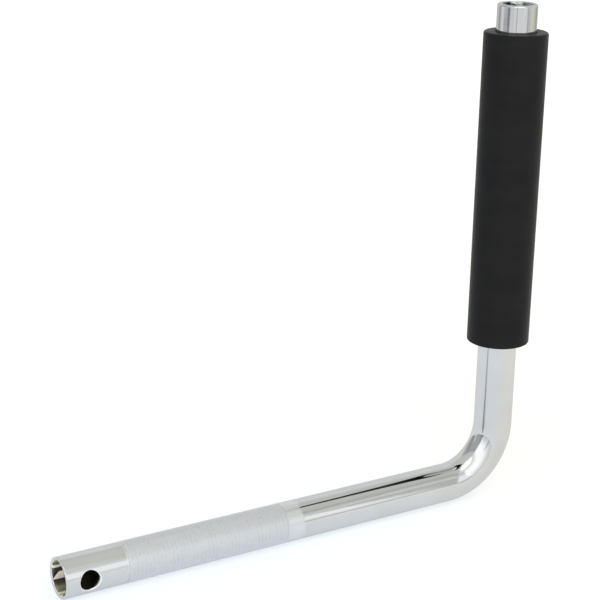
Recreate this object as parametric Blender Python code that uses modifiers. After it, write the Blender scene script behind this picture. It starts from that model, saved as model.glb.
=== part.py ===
"""Angled wheel-nut wrench: a bent steel tube with a hex socket at each end and a grip that spins.

The upright leg carries the drive socket and the spinning grip. The other leg is the lever, which lies
along -X and rests on the ground plane. The origin is on the ground, under the centre of the tool's box.
Lengths are in metres, and +Z is up.
"""
import math

import bmesh
import bpy
from mathutils import Matrix, Vector

MM = 0.001

# Tube. The two leg lengths run from the corner of the centre line to the leg's end.
TUBE_R = 12.5 * MM
BORE_R = 9.3 * MM
BEND_R = 36.5 * MM
LEVER_LENGTH = 310.5 * MM
UPRIGHT_LENGTH = 310.5 * MM

# Sockets.
LEVER_HEX_AF = 19.0 * MM
LEVER_HEX_DEPTH = 24.0 * MM
DRIVE_HEX_AF = 17.0 * MM
DRIVE_HEX_DEPTH = 19.0 * MM
DRIVE_PILOT_R = 8.2 * MM
DRIVE_PILOT_DEPTH = 22.0 * MM
DRILL_POINT_DEPTH = 5.0 * MM
DRIVE_BODY_LENGTH = 48.0 * MM
SPIGOT_LENGTH = 25.0 * MM
MOUTH_CHAMFER = 0.2 * MM
RIM_CHAMFER = 0.9 * MM
LEVER_RIM_CHAMFER = 0.4 * MM
SPIGOT_CHAMFER = 0.5 * MM

# Tommy-bar hole, across the lever's end, and the spring pin that holds the drive socket.
CROSS_HOLE_R = 6.0 * MM
CROSS_HOLE_INSET = 14.8 * MM
PIN_R = 3.0 * MM
PIN_WALL = 1.0 * MM
PIN_SLIT = 1.0 * MM
PIN_INSET = 12.5 * MM

# Grip and what holds it on the leg.
GRIP_R = 20.0 * MM
GRIP_LENGTH = 200.0 * MM
GRIP_TO_RIM = 17.0 * MM
GRIP_WALL = 2.7 * MM
GRIP_LIP = 2.0 * MM
GRIP_TOP_ROUND = 1.6 * MM
GRIP_FOOT_ROUND = 0.8 * MM
LIP_HOLE_R = 13.1 * MM
CORE_R = 17.0 * MM
CORE_WALL = 2.0 * MM
BUSH_FLANGE_R = 16.6 * MM
BUSH_FLANGE = 2.0 * MM
BUSH_LENGTH = 20.0 * MM
WASHER_R = 16.4 * MM
WASHER_THICKNESS = 1.5 * MM
GROOVE_R = 11.5 * MM
CIRCLIP_THICKNESS = 1.2 * MM
CIRCLIP_BAND_MIN = 2.0 * MM
CIRCLIP_BAND_MAX = 3.2 * MM
CIRCLIP_LUG_R = 2.1 * MM
CIRCLIP_LUG_CENTRE = 14.6 * MM
CIRCLIP_LUG_HOLE_R = 1.0 * MM
CIRCLIP_LUG_ANGLE = math.radians(22.0)
CIRCLIP_GAP_ANGLE = math.radians(14.0)
EDGE_BREAK = 0.3 * MM

GAP = 0.3 * MM
ROUND_STEPS = 48
BEND_STEPS = 18
PIN_STEPS = 24
SMOOTH_ANGLE = math.radians(35.0)
CUTTER_REACH = 5.0 * MM
MERGE = 1e-6

# Places that follow from the sizes above.
AXIS_Z = TUBE_R
UPRIGHT_X = (LEVER_LENGTH - GRIP_R) / 2
LEVER_END_X = UPRIGHT_X - LEVER_LENGTH
RIM_Z = AXIS_Z + UPRIGHT_LENGTH
SHOULDER_Z = RIM_Z - DRIVE_BODY_LENGTH
SPIGOT_R = BORE_R - GAP
PIN_Z = SHOULDER_Z - PIN_INSET
GRIP_TOP_Z = RIM_Z - GRIP_TO_RIM
GRIP_FOOT_Z = GRIP_TOP_Z - GRIP_LENGTH
GRIP_MID_Z = (GRIP_TOP_Z + GRIP_FOOT_Z) / 2
CIRCLIP_R = GROOVE_R + GAP
CIRCLIP_DEPTH = GRIP_LIP + GAP
WASHER_DEPTH = CIRCLIP_DEPTH + CIRCLIP_THICKNESS + GAP
FLANGE_DEPTH = WASHER_DEPTH + WASHER_THICKNESS + GAP
CORE_DEPTH = FLANGE_DEPTH + BUSH_FLANGE + GAP

MATERIALS = {
    "chrome": ((0.80, 0.81, 0.83), 0.08, 1.0),
    "satin_chrome": ((0.74, 0.75, 0.76), 0.28, 1.0),
    "black_plastic": ((0.018, 0.018, 0.019), 0.42, 0.0),
    "core_plastic": ((0.30, 0.31, 0.32), 0.50, 0.0),
    "bearing_bronze": ((0.55, 0.36, 0.16), 0.35, 1.0),
    "spring_steel": ((0.16, 0.16, 0.17), 0.38, 1.0),
}


def clear_scene():
    """Remove what the start-up file holds."""
    for obj in list(bpy.data.objects):
        bpy.data.objects.remove(obj, do_unlink=True)


def make_collection(name):
    """A new collection in the scene."""
    collection = bpy.data.collections.new(name)
    bpy.context.scene.collection.children.link(collection)
    return collection


def make_material(name):
    """A Principled material from the table of finishes."""
    color, roughness, metallic = MATERIALS[name]
    material = bpy.data.materials.new(name)
    material.use_nodes = True
    shader = material.node_tree.nodes["Principled BSDF"]
    shader.inputs["Base Color"].default_value = (*color, 1.0)
    shader.inputs["Roughness"].default_value = roughness
    shader.inputs["Metallic"].default_value = metallic
    material.diffuse_color = (*color, 1.0)
    return material


def add_part(name, mesh, material, location=(0, 0, 0), parent=None):
    """Put a mesh in the part's collection, smooth shaded, with its own material."""
    obj = bpy.data.objects.new(name, mesh)
    parts.objects.link(obj)
    mesh.materials.clear()
    mesh.materials.append(make_material(material))
    obj.parent = parent
    obj.location = location
    return obj


def add_cutter(name, mesh, location=(0, 0, 0)):
    """A hidden solid that a Boolean takes away."""
    obj = bpy.data.objects.new(name, mesh)
    cutters.objects.link(obj)
    obj.location = location
    obj.hide_render = True
    obj.display_type = "WIRE"
    return obj


def cut(obj, *tools):
    """Take each cutter away from the object, in order."""
    for tool in tools:
        modifier = obj.modifiers.new(f"cut {tool.name}", "BOOLEAN")
        modifier.operation = "DIFFERENCE"
        modifier.solver = "EXACT"
        modifier.object = tool


def shade_round(obj):
    """Smooth shading, with the edges of faces that meet sharply kept crisp."""
    obj.data.shade_smooth()
    obj.data.set_sharp_from_angle(angle=SMOOTH_ANGLE)


def turned_mesh(name, profile, closed):
    """Turn an (r, z) profile about Z. It runs down the outer side, and a closed one comes back up the bore."""
    mesh = bpy.data.meshes.new(name)
    points = [(radius, 0.0, height) for radius, height in profile]
    edges = [(i, i + 1) for i in range(len(points) - 1)]
    if closed:
        edges.append((len(points) - 1, 0))
    mesh.from_pydata(points, edges, [])
    holder = bpy.data.objects.new(name, mesh)
    cutters.objects.link(holder)
    screw = holder.modifiers.new("turn", "SCREW")
    screw.axis = "Z"
    screw.steps = ROUND_STEPS
    screw.render_steps = ROUND_STEPS
    screw.use_merge_vertices = True
    screw.merge_threshold = MERGE
    return bake_mesh(holder)


def bake_mesh(holder):
    """The holder's evaluated mesh with its seams welded. The holder itself is removed."""
    evaluated = holder.evaluated_get(bpy.context.evaluated_depsgraph_get())
    mesh = bpy.data.meshes.new_from_object(evaluated)
    mesh.transform(holder.matrix_world)
    welded = bmesh.new()
    welded.from_mesh(mesh)
    bmesh.ops.remove_doubles(welded, verts=welded.verts, dist=MERGE)
    welded.to_mesh(mesh)
    welded.free()
    bpy.data.objects.remove(holder, do_unlink=True)
    return mesh


def arc(centre, radius, start, end, steps):
    """Points of an arc in a plane, from one angle to another, in degrees."""
    angles = [math.radians(start + (end - start) * i / steps) for i in range(steps + 1)]
    return [(centre[0] + radius * math.cos(a), centre[1] + radius * math.sin(a)) for a in angles]


def cone_mesh(name, radius_low, radius_high, length, axis, segments=ROUND_STEPS, turn=0.0):
    """A cylinder, prism or truncated cone, centred on the origin, whose high end points along the axis."""
    shape = bmesh.new()
    lay = Vector((0, 0, 1)).rotation_difference(Vector(axis)).to_matrix().to_4x4()
    pose = lay @ Matrix.Rotation(turn, 4, "Z")
    bmesh.ops.create_cone(
        shape, cap_ends=True, segments=segments, radius1=radius_low, radius2=radius_high, depth=length, matrix=pose
    )
    mesh = bpy.data.meshes.new(name)
    shape.to_mesh(mesh)
    shape.free()
    return mesh


def hex_mesh(name, across_flats, length, axis, turn=0.0):
    """A hexagonal prism with two corners along Y, or turned from there about its axis."""
    radius = hex_corner(across_flats)
    return cone_mesh(name, radius, radius, length, axis, segments=6, turn=turn)


def hex_corner(across_flats):
    """Distance from a hexagon's centre to its corner."""
    return across_flats / 2 / math.cos(math.pi / 6)


def mouth_cutter(name, across_flats, location, axis):
    """A 45 degree countersink that just breaks the corners of a hex mouth."""
    widest = hex_corner(across_flats) + MOUTH_CHAMFER + CUTTER_REACH
    depth = widest - across_flats / 2 + MOUTH_CHAMFER
    mesh = cone_mesh(name, widest - depth, widest, depth, axis)
    offset = Vector(axis) * (CUTTER_REACH - depth / 2)
    return add_cutter(name, mesh, Vector(location) + offset)


def tube_path(lever_x, top_z):
    """Centre line of the tube, from the lever's end round the bend and up the leg."""
    bend = arc((UPRIGHT_X - BEND_R, AXIS_Z + BEND_R), BEND_R, -90, 0, BEND_STEPS)
    return [(lever_x, AXIS_Z), *bend, (UPRIGHT_X, top_z)]


def swept_mesh(name, path, radius):
    """A round bar along a path in the XZ plane, with filled ends."""
    curve = bpy.data.curves.new(name, "CURVE")
    curve.dimensions = "3D"
    curve.bevel_depth = radius
    curve.bevel_resolution = (ROUND_STEPS - 4) // 2
    curve.use_fill_caps = True
    spline = curve.splines.new("POLY")
    spline.points.add(len(path) - 1)
    for point, (x, z) in zip(spline.points, path):
        point.co = (x, 0, z, 1)
    holder = bpy.data.objects.new(name, curve)
    cutters.objects.link(holder)
    return bake_mesh(holder)


def lever_rim_profile():
    """Outline of the ring that a chamfer takes off the lever's rim, in (r, z) with the rim at z = 0."""
    outer = TUBE_R + CUTTER_REACH
    inner = TUBE_R - LEVER_RIM_CHAMFER
    slope_foot = -LEVER_RIM_CHAMFER - CUTTER_REACH
    return [(inner - CUTTER_REACH, CUTTER_REACH), (outer, CUTTER_REACH), (outer, slope_foot)]


def build_wrench_tube():
    """The bent tube, with the lever's hex socket, the tommy-bar hole, the pin hole and the lower groove."""
    top_z = SHOULDER_Z - GAP
    tube = add_part("wrench_tube", swept_mesh("wrench_tube", tube_path(LEVER_END_X, top_z), TUBE_R), "chrome")
    far = CUTTER_REACH
    bore = add_cutter("tube_bore", swept_mesh("tube_bore", tube_path(LEVER_END_X - far, top_z + far), BORE_R))

    end = Vector((LEVER_END_X, 0, AXIS_Z))
    hexagon = hex_mesh("lever_hex", LEVER_HEX_AF, LEVER_HEX_DEPTH + far, (-1, 0, 0), turn=math.pi / 2)
    lever_hex = add_cutter("lever_hex", hexagon, end + Vector(((LEVER_HEX_DEPTH - far) / 2, 0, 0)))
    mouth = mouth_cutter("lever_mouth", LEVER_HEX_AF, end, (-1, 0, 0))

    hole = cone_mesh("tommy_hole", CROSS_HOLE_R, CROSS_HOLE_R, 2 * TUBE_R + 2 * far, (0, 1, 0), 36)
    tommy = add_cutter("tommy_hole", hole, end + Vector((CROSS_HOLE_INSET, 0, 0)))
    rim = turned_mesh("lever_rim", lever_rim_profile(), closed=True)
    rim.transform(Matrix.Rotation(-math.pi / 2, 4, "Y"))
    lever_rim = add_cutter("lever_rim", rim, end)

    pin_hole = add_cutter("tube_pin_hole", pin_hole_mesh("tube_pin_hole"), (UPRIGHT_X, 0, PIN_Z))
    groove_z = GRIP_FOOT_Z + CIRCLIP_DEPTH + CIRCLIP_THICKNESS / 2
    groove = add_cutter("lower_groove", groove_mesh("lower_groove"), (UPRIGHT_X, 0, groove_z))
    cut(tube, bore, lever_hex, mouth, tommy, lever_rim, pin_hole, groove)
    shade_round(tube)


def pin_hole_mesh(name):
    """A straight hole across the leg, for the spring pin."""
    radius = PIN_R + GAP
    return cone_mesh(name, radius, radius, 2 * TUBE_R + 2 * CUTTER_REACH, (0, 1, 0), PIN_STEPS)


def groove_mesh(name):
    """The ring that a circlip groove takes away."""
    half = CIRCLIP_THICKNESS / 2 + GAP
    outer = TUBE_R + CUTTER_REACH
    return turned_mesh(name, [(outer, half), (outer, -half), (GROOVE_R, -half), (GROOVE_R, half)], closed=True)


def build_drive_socket():
    """The turned socket: hex mouth, circlip groove, shoulder and the spigot that sits in the tube."""
    shoulder = SHOULDER_Z
    spigot_foot = SHOULDER_Z - SPIGOT_LENGTH
    profile = [
        (0, RIM_Z),
        (TUBE_R - RIM_CHAMFER, RIM_Z),
        (TUBE_R, RIM_Z - RIM_CHAMFER),
        (TUBE_R, shoulder),
        (SPIGOT_R, shoulder),
        (SPIGOT_R, spigot_foot + SPIGOT_CHAMFER),
        (SPIGOT_R - SPIGOT_CHAMFER, spigot_foot),
        (0, spigot_foot),
    ]
    socket = add_part(
        "drive_socket", turned_mesh("drive_socket", profile, closed=False), "satin_chrome", (UPRIGHT_X, 0, 0)
    )
    pilot_foot = RIM_Z - DRIVE_PILOT_DEPTH
    pilot_profile = [
        (0, RIM_Z + CUTTER_REACH),
        (DRIVE_PILOT_R, RIM_Z + CUTTER_REACH),
        (DRIVE_PILOT_R, pilot_foot),
        (0, pilot_foot - DRILL_POINT_DEPTH),
    ]
    pilot = add_cutter("drive_pilot", turned_mesh("drive_pilot", pilot_profile, closed=False), (UPRIGHT_X, 0, 0))
    rim = Vector((UPRIGHT_X, 0, RIM_Z))
    hexagon = hex_mesh("drive_hex", DRIVE_HEX_AF, DRIVE_HEX_DEPTH + CUTTER_REACH, (0, 0, 1))
    drive_hex = add_cutter("drive_hex", hexagon, rim - Vector((0, 0, (DRIVE_HEX_DEPTH - CUTTER_REACH) / 2)))
    mouth = mouth_cutter("drive_mouth", DRIVE_HEX_AF, rim, (0, 0, 1))
    pin_hole = add_cutter("socket_pin_hole", pin_hole_mesh("socket_pin_hole"), (UPRIGHT_X, 0, PIN_Z))
    groove_z = GRIP_TOP_Z - CIRCLIP_DEPTH - CIRCLIP_THICKNESS / 2
    groove = add_cutter("upper_groove", groove_mesh("upper_groove"), (UPRIGHT_X, 0, groove_z))
    cut(socket, pilot, drive_hex, mouth, pin_hole, groove)
    shade_round(socket)


def flat_mesh(name, outlines, thickness):
    """A flat plate from closed outlines, the first its edge and the others holes, centred on its own plane."""
    curve = bpy.data.curves.new(name, "CURVE")
    curve.dimensions = "2D"
    curve.fill_mode = "BOTH"
    curve.extrude = thickness / 2
    for outline in outlines:
        spline = curve.splines.new("POLY")
        spline.points.add(len(outline) - 1)
        for point, (x, y) in zip(spline.points, outline):
            point.co = (x, y, 0, 1)
        spline.use_cyclic_u = True
    holder = bpy.data.objects.new(name, curve)
    cutters.objects.link(holder)
    return bake_mesh(holder)


def build_cross_pin():
    """The split spring pin, pressed through the tube and the spigot."""
    slit = math.degrees(PIN_SLIT / 2 / PIN_R)
    outer = arc((0, 0), PIN_R, slit, 360 - slit, PIN_STEPS)
    inner = arc((0, 0), PIN_R - PIN_WALL, 360 - slit, slit, PIN_STEPS)
    length = 2 * (TUBE_R - 2 * GAP)
    mesh = flat_mesh("socket_cross_pin", [outer + inner], length)
    mesh.transform(Matrix.Rotation(math.pi / 2, 4, "X"))
    pin = add_part("socket_cross_pin", mesh, "spring_steel", (UPRIGHT_X, 0, PIN_Z))
    shade_round(pin)


def circlip_outer_radius(angle):
    """Outer edge of a circlip at an angle from its gap: a band that widens away from the gap, and two lugs."""
    widening = (1 - math.cos(angle)) / 2
    radius = CIRCLIP_R + CIRCLIP_BAND_MIN + (CIRCLIP_BAND_MAX - CIRCLIP_BAND_MIN) * widening
    for lug_angle in (CIRCLIP_LUG_ANGLE, -CIRCLIP_LUG_ANGLE):
        across = CIRCLIP_LUG_CENTRE * math.sin(angle - lug_angle)
        along = CIRCLIP_LUG_CENTRE * math.cos(angle - lug_angle)
        if abs(across) < CIRCLIP_LUG_R and along > 0:
            radius = max(radius, along + math.sqrt(CIRCLIP_LUG_R**2 - across**2))
    return radius


def circlip_mesh(name):
    """An external circlip with its gap at +X."""
    steps = 2 * ROUND_STEPS
    span = 2 * math.pi - 2 * CIRCLIP_GAP_ANGLE
    angles = [CIRCLIP_GAP_ANGLE + span * i / steps for i in range(steps + 1)]
    outer = [(circlip_outer_radius(a) * math.cos(a), circlip_outer_radius(a) * math.sin(a)) for a in angles]
    inner = [(CIRCLIP_R * math.cos(a), CIRCLIP_R * math.sin(a)) for a in reversed(angles[::2])]
    outlines = [outer + inner]
    for side in (1, -1):
        lug = CIRCLIP_LUG_ANGLE * side
        centre = (CIRCLIP_LUG_CENTRE * math.cos(lug), CIRCLIP_LUG_CENTRE * math.sin(lug))
        outlines.append(arc(centre, CIRCLIP_LUG_HOLE_R, 0, 360, 12)[:-1])
    return flat_mesh(name, outlines, CIRCLIP_THICKNESS)


def ring_profile(inner, outer, low, high, edge=EDGE_BREAK):
    """A plain ring's outline with broken outer edges."""
    return [
        (outer - edge, high),
        (outer, high - edge),
        (outer, low + edge),
        (outer - edge, low),
        (inner, low),
        (inner, high),
    ]


def end_height(depth, side):
    """Height at a depth inside the grip's top (side 1) or foot (side -1), from the grip's middle."""
    return side * (GRIP_LENGTH / 2 - depth)


def bush_profile(side):
    """A flanged bush, whose flange faces the grip's end."""
    radius_in = TUBE_R + GAP
    radius_out = CORE_R - CORE_WALL - GAP
    face = GRIP_LENGTH / 2 - FLANGE_DEPTH
    step = face - BUSH_FLANGE
    foot = step - BUSH_LENGTH
    outline = [
        (radius_in, face),
        (BUSH_FLANGE_R, face),
        (BUSH_FLANGE_R, step),
        (radius_out, step),
        (radius_out, foot),
        (radius_in, foot),
    ]
    if side > 0:
        return outline
    return [(radius, -height) for radius, height in reversed(outline)]


def build_retainers():
    """The circlip and the thrust washer at each end of the grip, which stay with the leg."""
    for name, side in (("upper", 1), ("lower", -1)):
        clip_z = GRIP_MID_Z + end_height(CIRCLIP_DEPTH + CIRCLIP_THICKNESS / 2, side)
        clip = add_part(f"{name}_circlip", circlip_mesh(f"{name}_circlip"), "spring_steel", (UPRIGHT_X, 0, clip_z))
        shade_round(clip)
        near = end_height(WASHER_DEPTH, side)
        far = end_height(WASHER_DEPTH + WASHER_THICKNESS, side)
        profile = ring_profile(TUBE_R + GAP, WASHER_R, min(near, far), max(near, far))
        mesh = turned_mesh(f"{name}_thrust_washer", profile, closed=True)
        washer = add_part(f"{name}_thrust_washer", mesh, "spring_steel", (UPRIGHT_X, 0, GRIP_MID_Z))
        shade_round(washer)


def sleeve_profile():
    """The sleeve's outline, from its top lip down the outside and back up the inside."""
    half = GRIP_LENGTH / 2
    inner = GRIP_R - GRIP_WALL
    top = arc((GRIP_R - GRIP_TOP_ROUND, half - GRIP_TOP_ROUND), GRIP_TOP_ROUND, 90, 0, 6)
    foot = arc((GRIP_R - GRIP_FOOT_ROUND, -half + GRIP_FOOT_ROUND), GRIP_FOOT_ROUND, 0, -90, 4)
    inside = [(LIP_HOLE_R, -half), (LIP_HOLE_R, GRIP_LIP - half), (inner, GRIP_LIP - half)]
    above = [(inner, half - GRIP_LIP), (LIP_HOLE_R, half - GRIP_LIP), (LIP_HOLE_R, half)]
    return [*top, *foot, *inside, *above]


def build_grip():
    """The spinning grip: sleeve, core and bushes, on an empty that stands on the spin axis."""
    axle = bpy.data.objects.new("grip_spin_axis", None)
    parts.objects.link(axle)
    axle.location = (UPRIGHT_X, 0, GRIP_MID_Z)
    sleeve = add_part("grip_sleeve", turned_mesh("grip_sleeve", sleeve_profile(), True), "black_plastic", parent=axle)
    shade_round(sleeve)
    core_half = end_height(CORE_DEPTH, 1)
    profile = ring_profile(CORE_R - CORE_WALL, CORE_R, -core_half, core_half)
    core = add_part("grip_core", turned_mesh("grip_core", profile, True), "core_plastic", parent=axle)
    shade_round(core)
    for name, side in (("upper", 1), ("lower", -1)):
        mesh = turned_mesh(f"{name}_bush", bush_profile(side), True)
        bush = add_part(f"{name}_bush", mesh, "bearing_bronze", parent=axle)
        shade_round(bush)


clear_scene()
parts = make_collection("angled_wheel_wrench")
cutters = make_collection("cutters")
build_wrench_tube()
build_drive_socket()
build_cross_pin()
build_retainers()
build_grip()
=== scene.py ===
"""Looks of the angled wheel-nut wrench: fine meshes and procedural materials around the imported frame.

Everything is in metres, in the frame's own axes: the lever lies along -X, the driven leg stands along +Z.
"""
import math
from collections import namedtuple

import bmesh
import bpy
from mathutils import Matrix, Vector


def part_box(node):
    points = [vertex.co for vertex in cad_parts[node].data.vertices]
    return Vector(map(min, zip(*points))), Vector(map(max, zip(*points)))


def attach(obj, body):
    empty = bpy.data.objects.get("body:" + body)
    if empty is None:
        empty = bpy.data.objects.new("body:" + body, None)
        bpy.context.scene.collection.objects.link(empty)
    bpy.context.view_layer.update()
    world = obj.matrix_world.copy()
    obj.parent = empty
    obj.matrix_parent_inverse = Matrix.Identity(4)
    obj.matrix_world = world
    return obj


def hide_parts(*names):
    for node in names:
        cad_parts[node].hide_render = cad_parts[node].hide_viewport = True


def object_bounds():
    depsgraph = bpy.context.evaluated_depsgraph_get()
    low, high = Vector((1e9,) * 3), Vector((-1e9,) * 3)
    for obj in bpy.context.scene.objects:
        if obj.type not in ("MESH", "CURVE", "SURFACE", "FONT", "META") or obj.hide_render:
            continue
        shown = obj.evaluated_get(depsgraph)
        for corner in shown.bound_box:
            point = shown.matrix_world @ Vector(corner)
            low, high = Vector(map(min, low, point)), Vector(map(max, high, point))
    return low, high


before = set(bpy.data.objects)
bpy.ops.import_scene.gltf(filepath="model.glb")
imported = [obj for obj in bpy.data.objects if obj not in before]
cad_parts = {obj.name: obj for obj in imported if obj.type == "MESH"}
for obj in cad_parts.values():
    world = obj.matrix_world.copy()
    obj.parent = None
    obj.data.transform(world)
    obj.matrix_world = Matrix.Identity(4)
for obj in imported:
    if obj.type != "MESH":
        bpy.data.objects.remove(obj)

MM = 0.001
CAD_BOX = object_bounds()

# Places and sizes that the frame gives.
TUBE_LOW, TUBE_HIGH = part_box("wrench_tube")
SOCKET_LOW, SOCKET_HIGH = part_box("drive_socket")
SLEEVE_LOW, SLEEVE_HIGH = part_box("grip_sleeve")
CLIP_LOW, CLIP_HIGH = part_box("lower_circlip")
UPPER_CLIP_LOW, UPPER_CLIP_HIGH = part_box("upper_circlip")
PIN_LOW, PIN_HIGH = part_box("socket_cross_pin")
TUBE_R = TUBE_HIGH.y
AXIS_Z = TUBE_LOW.z + TUBE_R
LEVER_END_X = TUBE_LOW.x
UPRIGHT_X = TUBE_HIGH.x - TUBE_R
TUBE_TOP_Z = TUBE_HIGH.z
RIM_Z = SOCKET_HIGH.z
SPIGOT_FOOT_Z = SOCKET_LOW.z
GRIP_R = SLEEVE_HIGH.y
GRIP_TOP_Z = SLEEVE_HIGH.z
GRIP_FOOT_Z = SLEEVE_LOW.z
PIN_R = (PIN_HIGH.z - PIN_LOW.z) / 2
PIN_Z = (PIN_HIGH.z + PIN_LOW.z) / 2

# Sizes of the design that the boxes don't hold.
BEND_R = 36.5 * MM
BORE_R = 9.3 * MM
SPIGOT_R = 9.0 * MM
SHOULDER_GAP = 0.3 * MM
LEVER_HEX_AF = 19.0 * MM
LEVER_HEX_DEPTH = 24.0 * MM
DRIVE_HEX_AF = 17.0 * MM
DRIVE_HEX_DEPTH = 19.0 * MM
PILOT_R = 8.2 * MM
PILOT_DEPTH = 22.0 * MM
DRILL_POINT = 5.0 * MM
MOUTH_OVER_CORNER = 0.2 * MM
HEX_CORNER_ROUND = 0.45 * MM
RIM_ROUND = 0.12 * MM
LEVER_RIM_ROUND = 0.4 * MM
DRIVE_RIM_CHAMFER = 0.9 * MM
GROOVE_R = 11.5 * MM
GROOVE_SIDE_GAP = 0.3 * MM
PIN_GAP = 0.3 * MM
CUTTER_REACH = 20 * MM
SKIN_MARGIN = 0.02 * MM
CROSS_HOLE_R = 6.0 * MM
CROSS_HOLE_INSET = 14.8 * MM
CROSS_HOLE_EDGE = 1.25 * MM
GRIP_WALL = 2.7 * MM
GRIP_LIP = 2.0 * MM
LIP_HOLE_R = 12.85 * MM

# Zones of the lever, as distances from its end, and the bright collar in front of the knurl.
POLISHED_END = 39.5 * MM
KNURL_END = 147.5 * MM
SATIN_END = 158.5 * MM
COLLAR = 0.6 * MM

# The knurl: its depth, diamonds around and row height, the flat share of each crest and how much that share
# swings with the wheel's feed, and the depth of the bed that its ring lies in.
KNURL_DEPTH = 0.07 * MM
KNURL_COLUMNS = 87
KNURL_ROW = 1.3 * MM
KNURL_FLAT = 0.50
KNURL_FEED_SWING = 0.12
KNURL_FEED = 2.6 * MM
KNURL_BED = 0.35 * MM
KNURL_AROUND = 2 * KNURL_COLUMNS
KNURL_ROWS = 2 * round((KNURL_END - POLISHED_END) / KNURL_ROW)

# Mesh fineness: points in a ring and in the rings of the two kinds of cutter, rings in the bend, and the
# angles above which an edge stays sharp.
AROUND = 192
TOMMY_HOLE_AROUND = 96
PIN_HOLE_AROUND = 32
BEND_STEPS = 40
SHARP = math.radians(30)
KNURL_SHARP = math.radians(20)

# Extra rings that only keep the faces short, in millimetres: in from the lever's rim, down the outside of the
# drive socket, in along each hexagon's wall, up the upright leg, and this far under the pin.
LEVER_RINGS = (2, 4, 6, 8, 10, 12, 14, 16, 18, 20, 22, 25, 30, 35)
DRIVE_RINGS = (14, 7)
HEX_RINGS = (3, 6, 10, 14, 18)
UPRIGHT_RINGS = (60, 75, 90)
RING_UNDER_PIN = 6


# ---------------------------------------------------------------- mesh helpers


def mesh_object(name, mesh):
    """A new object in the scene for a mesh."""
    obj = bpy.data.objects.new(name, mesh)
    bpy.context.scene.collection.objects.link(obj)
    return obj


def ring_mesh(name, rings, loop):
    """A closed skin over rings of equal point counts. A loop joins its last ring to its first."""
    shape = bmesh.new()
    verts = [[shape.verts.new(point) for point in ring] for ring in rings]
    count = len(rings[0])
    pairs = list(zip(verts, verts[1:]))
    if loop:
        pairs.append((verts[-1], verts[0]))
    for low, high in pairs:
        for i in range(count):
            j = (i + 1) % count
            shape.faces.new((low[i], low[j], high[j], high[i]))
    if not loop:
        shape.faces.new(verts[0])
        shape.faces.new(verts[-1])
    return finished_mesh(name, shape, SHARP)


def finished_mesh(name, shape, sharp_angle):
    """The mesh of a closed bmesh, with its faces turned outwards and smooth up to the sharp angle."""
    bmesh.ops.recalc_face_normals(shape, faces=shape.faces)
    if shape.calc_volume(signed=True) < 0:
        bmesh.ops.reverse_faces(shape, faces=shape.faces)
    mesh = bpy.data.meshes.new(name)
    shape.to_mesh(mesh)
    shape.free()
    mesh.shade_smooth()
    mesh.set_sharp_from_angle(angle=sharp_angle)
    return mesh


def angles(count=AROUND):
    """Evenly spaced angles of one turn."""
    return [2 * math.pi * i / count for i in range(count)]


def hex_corner(across_flats):
    """Distance from a hexagon's centre to its sharp corner."""
    return across_flats / 2 / math.cos(math.pi / 6)


def hex_radius(angle, across_flats, corner_round):
    """Radius of a hexagon with slightly rounded corners, one of them at 90 degrees."""
    sector = (angle + math.pi / 6) % (math.pi / 3) - math.pi / 6
    flat = across_flats / 2 / math.cos(sector)
    return min(flat, hex_corner(across_flats) - corner_round * (1 / math.cos(math.pi / 6) - 1))


def mouth_radius(across_flats):
    """Radius of a socket's countersink at its rim, a little wider than the hexagon's corners."""
    return hex_corner(across_flats) + MOUTH_OVER_CORNER


def round_corners(profile, radii, steps):
    """The closed profile with each corner replaced by a curve of its own radius and this many steps."""
    rounded = []
    count = len(profile)
    for i, (point, radius) in enumerate(zip(profile, radii)):
        here = Vector(point)
        before = Vector(profile[i - 1]) - here
        after = Vector(profile[(i + 1) % count]) - here
        half = before.angle(after) / 2
        reach = min(radius / math.tan(half), before.length * 0.45, after.length * 0.45)
        start = here + before.normalized() * reach
        end = here + after.normalized() * reach
        for k in range(steps + 1):
            t = k / steps
            rounded.append(tuple(start * (1 - t) ** 2 + here * 2 * t * (1 - t) + end * t**2))
    return rounded


def lathe_rings(profile, centre=(0.0, 0.0)):
    """Rings of a turned shape about a vertical axis, from its (r, z) profile."""
    x, y = centre
    return [[Vector((x + r * math.cos(a), y + r * math.sin(a), z)) for a in angles()] for r, z in profile]


def value_at(value, angle):
    """The value itself, or what it gives at an angle if it is a function."""
    return value(angle) if callable(value) else value


# ---------------------------------------------------------------- node helpers


class Nodes:
    """Short ways to add nodes to a tree. A value that they take is an output, or a constant."""

    def __init__(self, tree):
        self.nodes = tree.nodes
        self.links = tree.links

    def feed(self, value, socket):
        """Join an output to an input, or set the input to a constant."""
        if isinstance(value, bpy.types.NodeSocket):
            self.links.new(value, socket)
        else:
            socket.default_value = value

    def math(self, operation, *values):
        """A math node on one or more values."""
        node = self.nodes.new("ShaderNodeMath")
        node.operation = operation
        for socket, value in zip(node.inputs, values):
            self.feed(value, socket)
        return node.outputs["Value"]

    def ramp(self, value, low, high, low_value, high_value, easing="LINEAR"):
        """A value remapped from one range to another, and held at its ends."""
        node = self.nodes.new("ShaderNodeMapRange")
        node.interpolation_type = easing
        node.inputs["From Min"].default_value = low
        node.inputs["From Max"].default_value = high
        node.inputs["To Min"].default_value = low_value
        node.inputs["To Max"].default_value = high_value
        self.feed(value, node.inputs["Value"])
        return node.outputs["Result"]

    def tones(self, value, stops):
        """A color from a table of positions and colors."""
        node = self.nodes.new("ShaderNodeValToRGB")
        elements = node.color_ramp.elements
        elements[0].position, elements[1].position = stops[0][0], stops[-1][0]
        for position, _ in stops[1:-1]:
            elements.new(position)
        for element, (_, color) in zip(elements, stops):
            element.color = (*color, 1.0)
        self.feed(value, node.inputs["Fac"])
        return node.outputs["Color"]


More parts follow.
